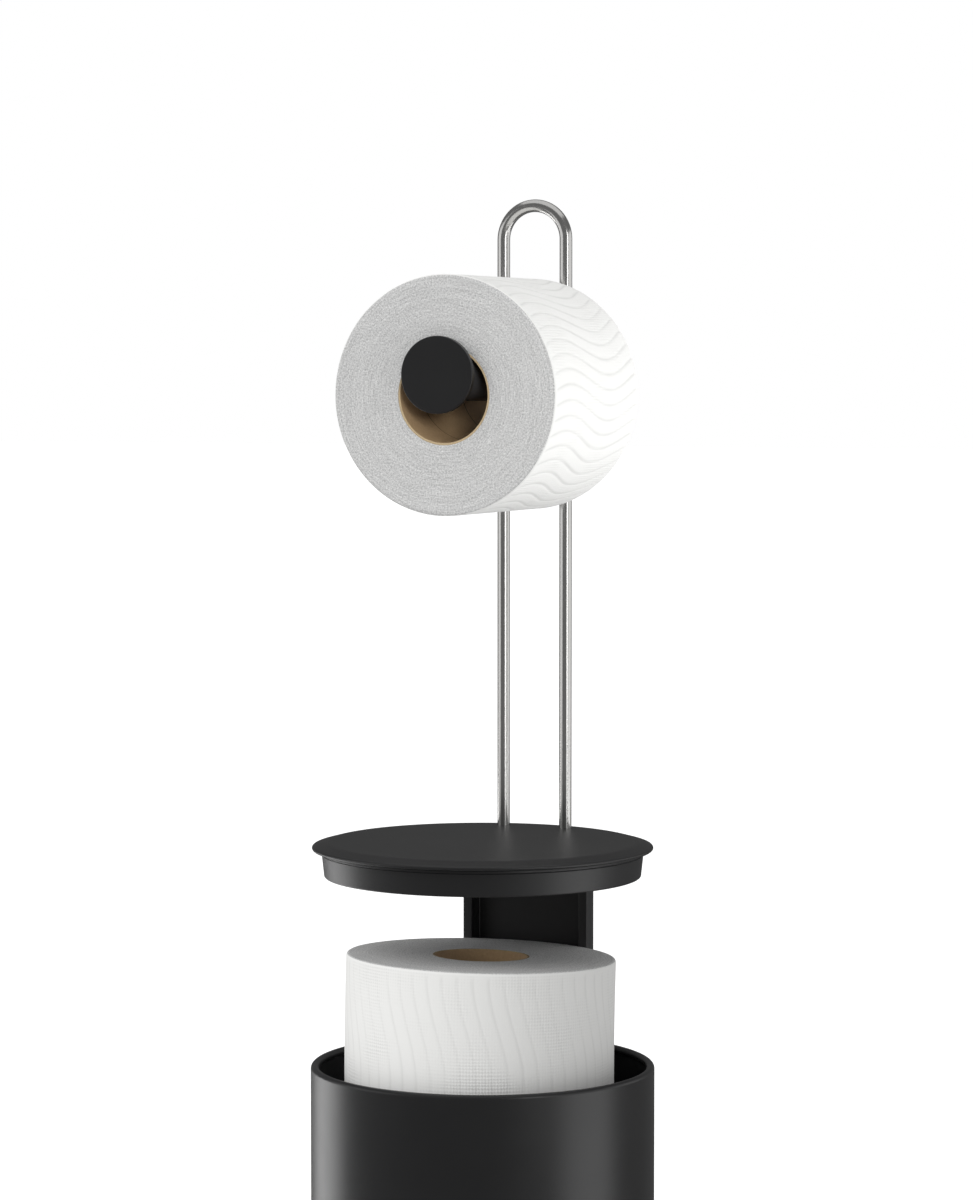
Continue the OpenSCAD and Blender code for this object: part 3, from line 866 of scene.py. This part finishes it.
# %% Tray
low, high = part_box("tray")
dish_radius = -low.y
spine_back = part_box("spine")[1].y
tray_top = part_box("spine")[0].z
LIP_HEIGHT = 4 * MM
FOOT_RIM = 8 * MM
FOOT_RIM_TALL = 0.8 * MM
DISH_ROUND = 1.5 * MM
LIP_HALF = 1 * MM
TONGUE_HALF = 20 * MM
outline = [(0, low.z + FOOT_RIM_TALL), (dish_radius - FOOT_RIM, low.z + FOOT_RIM_TALL),
           (dish_radius - FOOT_RIM - 1 * MM, low.z)]
outline += bend(dish_radius - DISH_ROUND, low.z + DISH_ROUND, DISH_ROUND, -90, 0, steps=5)
outline += bend(dish_radius - LIP_HALF, tray_top + LIP_HEIGHT - LIP_HALF, LIP_HALF, 0, 180, steps=8)
outline += bend(dish_radius - 3 * LIP_HALF, tray_top + LIP_HALF, LIP_HALF, 0, -90, steps=4)
outline += [(0, tray_top)]
tray = turned("tray_moulded", outline)
tongue = block((-TONGUE_HALF, spine_back, tray_top - SPARE), (TONGUE_HALF, high.y, high.z))
round_corners(tongue, lambda at, way: abs(way.y) > 0.99 and at.z > high.z - SPARE, CORNER)
combine(tray, [tongue], "UNION")
TRAY_SCREW = 2 * MM
combine(tray, tray_screw_drills(spine_back, high.y, TRAY_SCREW), "DIFFERENCE")
finish_piece(tray, "caddy", ["tray"], [black_abs])

# %% [markdown]
# ## The wire loop
#
# One length of stainless wire is bent into a tall narrow hairpin, and both of its ends are threaded
# for nuts under the lid. It is made as the wire is: a round section is drawn up one leg, spun half a
# turn round the middle of the bend, and drawn down the other leg. The threads are rings
# 0.8 mm apart, since a thread's slope is too small to see at this size.

# %% Wire loop
STUD = 2.5 * MM
THREAD_PITCH = 0.8 * MM
THREAD_DEPTH = 0.35 * MM
STUD_POINT = 0.4 * MM
WIRE_SIDES = 32
BEND_STEPS = 40
stud_foot = wire_low.z
thread_from = stud_foot + STUD_POINT
stud = [(STUD - STUD_POINT, stud_foot, 0), (STUD, thread_from, 0)]
for turn in range(int((lid_under - thread_from) / THREAD_PITCH)):
    foot = thread_from + turn * THREAD_PITCH
    stud += [(STUD - THREAD_DEPTH, foot + THREAD_PITCH / 2, 0), (STUD, foot + THREAD_PITCH, 0)]
leg = stud + [(STUD, lid_under - 0.02 * MM, 0), (WIRE, lid_under, 0)]
bend_height = wire_high.z - WIRE - leg_x
clear_selection()
bpy.ops.mesh.primitive_circle_add(vertices=WIRE_SIDES, radius=leg[0][0], calc_uvs=False,
                                  location=(leg_x, leg_y, stud_foot))
wire = start_piece("wire_loop_bent")
extrude_rings(leg + [(WIRE, bend_height, 0)], centre=(leg_x, leg_y))
bpy.ops.mesh.spin(steps=BEND_STEPS, angle=math.pi, center=(0, leg_y, bend_height), axis=(0, 1, 0))
extrude_rings([(WIRE, bend_height, 0)] + leg[::-1], centre=(-leg_x, leg_y))
pick(wire, "edges", lambda at, way: abs(at.z - stud_foot) < 0.01 * MM)
bpy.ops.mesh.edge_face_add()
close_piece(wire)
finish_piece(wire, "caddy", ["wire_loop"], [drawn_stainless], smooth=40)

# %% [markdown]
# ## Cross plate and arm
#
# Behind the roll a small steel plate bridges the two legs. Each wire lies welded in a round groove
# across it, which hides the weld. A tube is bolted to the plate and reaches forward between the
# legs. The disc pressed into the tube's free end keeps the roll from sliding off. Its rim has a
# fine round, which is the thin line of light round the disc.

# %% Cross plate
low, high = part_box("cross_plate")
plate = block(low, high)
plate.name = plate.data.name = "cross_plate_welded"
PLATE_CORNER = 4 * MM
round_corners(plate, lambda at, way: abs(way.y) > 0.99, PLATE_CORNER)
arm_z = (low.z + high.z) / 2
grooves = [round_bar((side * leg_x, leg_y, low.z - SPARE), (side * leg_x, leg_y, high.z + SPARE), WIRE)
           for side in (-1, 1)]
BOLT_HOLE = 3.2 * MM
bolt_hole = round_bar((0, low.y - SPARE, arm_z), (0, high.y + SPARE, arm_z), BOLT_HOLE)
combine(plate, grooves + [bolt_hole], "DIFFERENCE")
soften(plate, 0.5 * MM, angle=50)
finish_piece(plate, "caddy", ["cross_plate"], [black_powder_coat])

# %% Arm tube and disc
low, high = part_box("arm_tube")
tube_radius, tube_start, tube_length = high.x, low.y, high.y - low.y
TUBE_WALL = 2 * MM
bore = tube_radius - TUBE_WALL
outline = [(bore, 0), (tube_radius - BREAK, 0), (tube_radius, BREAK), (tube_radius, tube_length - BREAK),
           (tube_radius - BREAK, tube_length), (bore, tube_length), (bore, 0)]
arm_tube = turned("arm_tube_drawn", outline, sides=96)
lay_along_y(arm_tube, (0, tube_start, arm_z))
finish_piece(arm_tube, "caddy", ["arm_tube"], [black_powder_coat])

low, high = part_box("arm_disc")
disc_radius, disc_face = high.x, low.y - tube_start
spigot_end = high.y - tube_start
DISC_ROUND = 0.45 * MM
SPIGOT_POINT = 0.6 * MM
outline = [(0, disc_face)]
outline += bend(disc_radius - DISC_ROUND, disc_face + DISC_ROUND, DISC_ROUND, -90, 0, steps=4)
outline += [(disc_radius, -BREAK), (disc_radius - BREAK, 0), (bore, 0), (bore, spigot_end - SPIGOT_POINT),
            (bore - SPIGOT_POINT, spigot_end), (0, spigot_end)]
arm_disc = turned("arm_disc_turned", outline, sides=128)
lay_along_y(arm_disc, (0, tube_start, arm_z))
finish_piece(arm_disc, "caddy", ["arm_disc"], [black_powder_coat])

# %% [markdown]
# ## The rolls
#
# A roll is built upright like a turned part, with one difference: each ring on its side is also
# turned a little, back and forth along a sine wave. The columns of the mesh then run in the same
# wavy lines that the paper is pressed with, and a line is made by sinking one column in ten and
# its two neighbours a little. A flat pattern pushed in by a texture would need far more faces to
# stay as crisp. The ends are rings of slightly uneven height, as cut and wound paper is.

# %% How the paper is pressed and wound
LINE_STEP = 7.2 * MM
COLUMNS_PER_LINE = 10
WAVE_LENGTH = 96 * MM
WAVE_HEIGHT = 5 * MM
PRESS = 0.28 * MM
PRESS_SHAPE = ((0, 1.0), (1, 0.3))
RING_STEP = 2.4 * MM
EDGE_ROUND = 1.3 * MM
CORE_WALL = 1 * MM
END_RINGS = 22
END_ROUGHNESS = 0.05 * MM


def wave(height, crest):
    """How far round the roll, in metres, a pressed line has moved at this height."""
    return WAVE_HEIGHT * math.cos(math.tau * (height - crest) / WAVE_LENGTH)


def wound_outline(radius, core_radius, width, crest, chance):
    """The roll's outline and each ring's turn: its side, an end, the bore and the other end."""
    steps = round((width - 2 * EDGE_ROUND) / RING_STEP)
    side = [EDGE_ROUND + (width - 2 * EDGE_ROUND) * step / steps for step in range(steps + 1)]
    outline = [(radius, height) for height in side]
    turns = [wave(height, crest) / radius for height in side]
    edge_in = radius - EDGE_ROUND
    end_radii = [edge_in + (core_radius - edge_in) * ring / END_RINGS for ring in range(1, END_RINGS + 1)]
    rough = [chance.uniform(0, END_ROUGHNESS) for _ in end_radii]
    top = bend(edge_in, width - EDGE_ROUND, EDGE_ROUND, 0, 90, steps=4)[1:]
    top += [(at, width - sunk) for at, sunk in zip(end_radii, rough)]
    foot = [(at, sunk) for at, sunk in zip(end_radii[::-1], rough)]
    foot += bend(edge_in, EDGE_ROUND, EDGE_ROUND, -90, 0, steps=4)
    turns += [turns[-1]] * len(top) + [turns[0]] * len(foot)
    return outline + top + foot, turns


def press_lines(piece, radius, lines, crest, depth):
    """Sinks the columns that a pressed line runs along, and marks them in the pressed attribute.

    PRESS_SHAPE says how many columns from the line each share of the depth is.
    """
    def away(at):
        """Columns between this point and the nearest line."""
        around = (math.atan2(at.y, at.x) - wave(at.z, crest) / radius) * lines / math.tau
        return abs(around - round(around)) * COLUMNS_PER_LINE

    foot = EDGE_ROUND + 0.05 * MM
    top = max(corner[2] for corner in piece.bound_box) - foot
    for reach, share in PRESS_SHAPE:
        bpy.ops.object.mode_set(mode="EDIT")
        pick(piece, "verts", lambda at, way: at.xy.length > radius - 0.01 * MM and foot < at.z < top
             and abs(away(at) - reach) < 0.4)
        size = (radius - depth * share) / radius
        bpy.ops.transform.resize(value=(size, size, 1), center_override=(0, 0, 0))
        bpy.ops.object.mode_set(mode="OBJECT")
    pressed = piece.data.attributes.new("pressed", "FLOAT", "POINT")
    for corner, value in zip(piece.data.vertices, pressed.data):
        sunk = radius - corner.co.xy.length
        on_side = foot < corner.co.z < top and sunk < depth * 1.1
        value.value = min(1, sunk / PRESS) if on_side else 0


def unroll(piece, radius):
    """Writes the winding map: metres round and along on walls, flat metres on the ends."""
    winding = piece.data.uv_layers.new(name="winding")
    for side in piece.data.polygons:
        middle = side.center
        flat_end = abs(side.normal.z) > 0.7
        heading = math.atan2(middle.y, middle.x)
        for loop in side.loop_indices:
            at = piece.data.vertices[piece.data.loops[loop].vertex_index].co
            angle = heading + math.remainder(math.atan2(at.y, at.x) - heading, math.tau)
            winding.data[loop].uv = at.xy if flat_end else (angle * radius, at.z)


def mark_ends(piece, index):
    """Gives the faces that point along the axis the finish with this number."""
    for side in piece.data.polygons:
        if abs(side.normal.z) > 0.7:
            side.material_index = index


def paper_roll(name, radius, core_radius, width, crest, seed, depth=PRESS):
    """One roll of pressed tissue, upright, with its foot at the origin."""
    lines = round(math.tau * radius / LINE_STEP)
    outline, turns = wound_outline(radius, core_radius, width, crest, random.Random(seed))
    outline.append(outline[0])
    turns.append(turns[0])
    roll = turned(name, outline, sides=lines * COLUMNS_PER_LINE, turns=turns)
    press_lines(roll, radius, lines, crest, depth)
    unroll(roll, radius)
    mark_ends(roll, 1)
    print(f"{name}: {lines} pressed lines")
    return roll


def core_tube(name, radius, width):
    """A board core, upright, with softly crushed cut edges."""
    inside = radius - CORE_WALL
    soft = 0.2 * MM
    outline = [(inside, soft), (inside + soft, 0), (radius - soft, 0), (radius, soft),
               (radius, width - soft), (radius - soft, width), (inside + soft, width),
               (inside, width - soft), (inside, soft)]
    core = turned(name, outline, sides=96)
    unroll(core, radius)
    mark_ends(core, 1)
    return core


# %% Roll in use
low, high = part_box("roll_paper")
roll_width = high.y - low.y
core_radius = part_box("roll_core")[1].x
roll_place = (0, low.y, (low.z + high.z) / 2)
roll = paper_roll("roll_paper_embossed", high.x, core_radius, roll_width, crest=67 * MM, seed=3)
lay_along_y(roll, roll_place)
finish_piece(roll, "roll", ["roll_paper"], [tissue_side, tissue_end], smooth=60)
core = core_tube("roll_core_wound", core_radius, roll_width)
lay_along_y(core, roll_place)
finish_piece(core, "roll", ["roll_core"], [core_board, core_edge])
flag_off(roll_softbox, roll)
flag_off(core_softbox, core)
flag_off(tube_softbox, arm_tube)

# %% [markdown]
# Spare rolls have been squeezed in their pack, so their lines are only half as deep. The top one
# also leans back and a little aside, as a soft roll on a stack does. Only its upper part is
# tilted, in steps from the middle up, and the roll still stands flat on the one below.

# %% Spare rolls
LEAN_BACK = math.radians(1.9)
LEAN_ASIDE = math.radians(0.9)
LEAN_RISE = 0.9 * MM
LEAN_STEPS = 6
STACK_TURN = math.radians(75)


def lean(piece, foot, width):
    """Tilts the upper half of an upright piece in steps, and raises it a little.

    The turns are given backwards, as in extrude_rings.
    """
    bpy.ops.object.mode_set(mode="EDIT")
    for step in range(LEAN_STEPS):
        level = foot + width * (0.5 + 0.45 * step / LEAN_STEPS)
        pick(piece, "verts", lambda at, way: at.z > level)
        hinge = (0, 0, level)
        bpy.ops.transform.rotate(value=LEAN_BACK / LEAN_STEPS, orient_axis="X", center_override=hinge)
        bpy.ops.transform.rotate(value=-LEAN_ASIDE / LEAN_STEPS, orient_axis="Y", center_override=hinge)
        bpy.ops.transform.translate(value=(0, 0, LEAN_RISE / LEAN_STEPS))
    bpy.ops.object.mode_set(mode="OBJECT")


for number, level in enumerate(("top", "middle", "bottom")):
    low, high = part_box(f"spare_paper_{level}")
    middle = (low + high) / 2
    paper = paper_roll(f"spare_paper_{level}_embossed", (high.x - low.x) / 2, core_radius, roll_width,
                       crest=52 * MM, seed=11 + number, depth=PRESS / 2)
    core = core_tube(f"spare_core_{level}_wound", core_radius, roll_width)
    for piece, slot, node, finishes in ((paper, "tissue", "paper", [tissue_side, tissue_end]),
                                        (core, "core_board", "core", [core_board, core_edge])):
        take(piece)
        piece.location = (middle.x, middle.y, low.z)
        piece.rotation_euler = (0, 0, number * STACK_TURN)
        bpy.ops.object.transform_apply(location=True, rotation=True, scale=True)
        if level == "top":
            lean(piece, low.z, roll_width)
        finish_piece(piece, "caddy", [f"spare_{node}_{level}"], finishes, smooth=60)

# %% [markdown]
# ## Plates and fasteners
#
# The floor, the weight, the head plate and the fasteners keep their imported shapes, which already
# have their true sockets and hexagons. They only need their finishes: powder coat on the floor and
# zinc plate on the rest.

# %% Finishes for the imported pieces
plated = ["base_weight", "base_screws", "head_plate", "lid_screws", "tray_screws", "wire_washers",
          "wire_nuts", "arm_plug", "arm_bolt"]
for name in plated + ["canister_floor"]:
    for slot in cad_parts[name].material_slots:
        slot.material = black_powder_coat if name == "canister_floor" else zinc_plate
